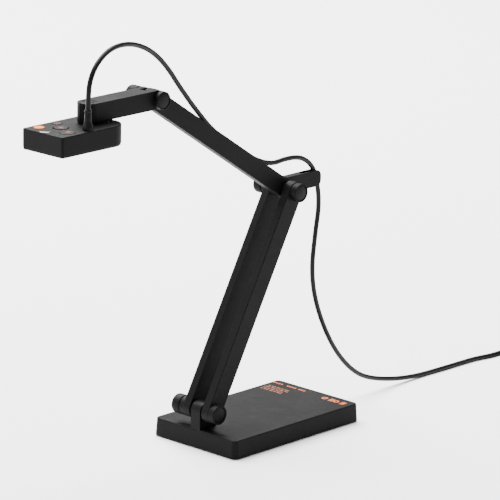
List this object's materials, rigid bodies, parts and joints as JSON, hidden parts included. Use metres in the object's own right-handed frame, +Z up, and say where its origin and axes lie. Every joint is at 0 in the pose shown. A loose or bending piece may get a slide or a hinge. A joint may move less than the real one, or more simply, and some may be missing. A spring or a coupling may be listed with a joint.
{
  "type": "document camera",
  "caption": "Desk document camera: flat camera head on a folding two-stage arm over a weighted rectangular base, with a captive USB cord.",
  "frame": {"origin": "centre of the base pad's underside, on the desk", "axes": "+X from the hinge lug towards the free end of the base and along the cord, the head reaches towards -X; +Y along the hinge axes; +Z up"},
  "size_m": [0.479, 0.1135, 0.278],
  "materials": {
    "shell_plastic": "fine moulded texture, matte",
    "cover_plastic": "smooth matte",
    "steel": "bright",
    "brass": "sintered",
    "washer_plastic": "slippery natural nylon",
    "pad_rubber": "matte",
    "board": "solder mask",
    "chip": "smooth",
    "lamp": "phosphor",
    "glass": "clear, coated",
    "diffuser": "translucent",
    "orange_plastic": "satin",
    "cord_jacket": "satin",
    "tie_fabric": "hook and loop"
  },
  "bodies": {
    "base": {"base_shell": "shell_plastic", "base_plate": "cover_plastic", "base_pad": "pad_rubber", "base_screws": "steel", "base_weight": "steel", "base_hinge_bush": "brass", "cord_floor": "cord_jacket", "cord_coil": "cord_jacket", "cord_tie": "tie_fabric", "cord_end": "cord_jacket", "plug_body": "cord_jacket", "plug_shell": "steel"},
    "lower_arm": {"lower_arm_near_bar": "shell_plastic", "lower_arm_far_bar": "shell_plastic", "base_hinge_pin": "steel", "base_hinge_end_disc": "cover_plastic", "base_hinge_cap": "cover_plastic", "base_hinge_washers": "washer_plastic", "elbow_pin": "steel", "elbow_end_disc": "cover_plastic", "elbow_cap": "cover_plastic", "elbow_washers": "washer_plastic"},
    "upper_arm": {"upper_arm": "shell_plastic", "elbow_bush": "brass", "wrist_bush": "brass", "cord_arm_run": "cord_jacket", "cord_drop": "cord_jacket"},
    "head_arm": {"head_arm_near_shell": "shell_plastic", "head_arm_far_shell": "shell_plastic", "head_arm_screws": "steel", "swivel_bush": "cover_plastic", "swivel_cover": "shell_plastic", "wrist_pin": "steel", "wrist_end_disc": "cover_plastic", "wrist_cap": "cover_plastic", "wrist_washers": "washer_plastic"},
    "camera_head": {"head_top_cover": "shell_plastic", "head_bottom_cover": "cover_plastic", "head_screws": "steel", "swivel_post": "steel", "swivel_washer": "steel", "swivel_screw": "steel", "main_board": "board", "image_sensor": "chip", "lens_holder": "cover_plastic", "lens_barrel": "cover_plastic", "lens_glass": "glass", "lens_window": "glass", "lamp_chip": "lamp", "light_pipe": "diffuser", "microphone": "chip", "button_switches": "chip", "cord_strain_relief": "cord_jacket", "cord_loop": "cord_jacket"},
    "capture_button": {"capture_button": "orange_plastic"},
    "focus_button": {"focus_button": "shell_plastic"},
    "exposure_button": {"exposure_button": "shell_plastic"},
    "light_button": {"light_button": "shell_plastic"}
  },
  "joints": [
    {"name": "base_hinge", "type": "hinge", "parent": "base", "child": "lower_arm", "pos_m": [-0.052, 0, 0.0241], "axis": [0, -1, 0], "range_deg": [-58, 45]},
    {"name": "elbow_hinge", "type": "hinge", "parent": "lower_arm", "child": "upper_arm", "pos_m": [0.02114, 0, 0.15769], "axis": [0, 1, 0], "range_deg": [-58, 80], "deforming": ["cord_drop"]},
    {"name": "wrist_hinge", "type": "hinge", "parent": "upper_arm", "child": "head_arm", "pos_m": [-0.10039, 0, 0.23661], "axis": [0, -1, 0], "range_deg": [-90, 60]},
    {"name": "head_swivel", "type": "hinge", "parent": "head_arm", "child": "camera_head", "pos_m": [-0.15459, 0, 0.22966], "axis": [0, 0, 1], "range_deg": [-90, 90], "deforming": ["cord_loop"]},
    {"name": "capture_button_press", "type": "slide", "parent": "camera_head", "child": "capture_button", "axis": [0, 0, -1], "range_m": [0, 0.0006], "stiffness_N_per_m": 500, "springref_m": -0.0004},
    {"name": "focus_button_press", "type": "slide", "parent": "camera_head", "child": "focus_button", "axis": [0, 0, -1], "range_m": [0, 0.0006], "stiffness_N_per_m": 500, "springref_m": -0.0004},
    {"name": "exposure_button_press", "type": "slide", "parent": "camera_head", "child": "exposure_button", "axis": [0, 0, -1], "range_m": [0, 0.0006], "stiffness_N_per_m": 500, "springref_m": -0.0004},
    {"name": "light_button_press", "type": "slide", "parent": "camera_head", "child": "light_button", "axis": [0, 0, -1], "range_m": [0, 0.0006], "stiffness_N_per_m": 500, "springref_m": -0.0004}
  ]
}
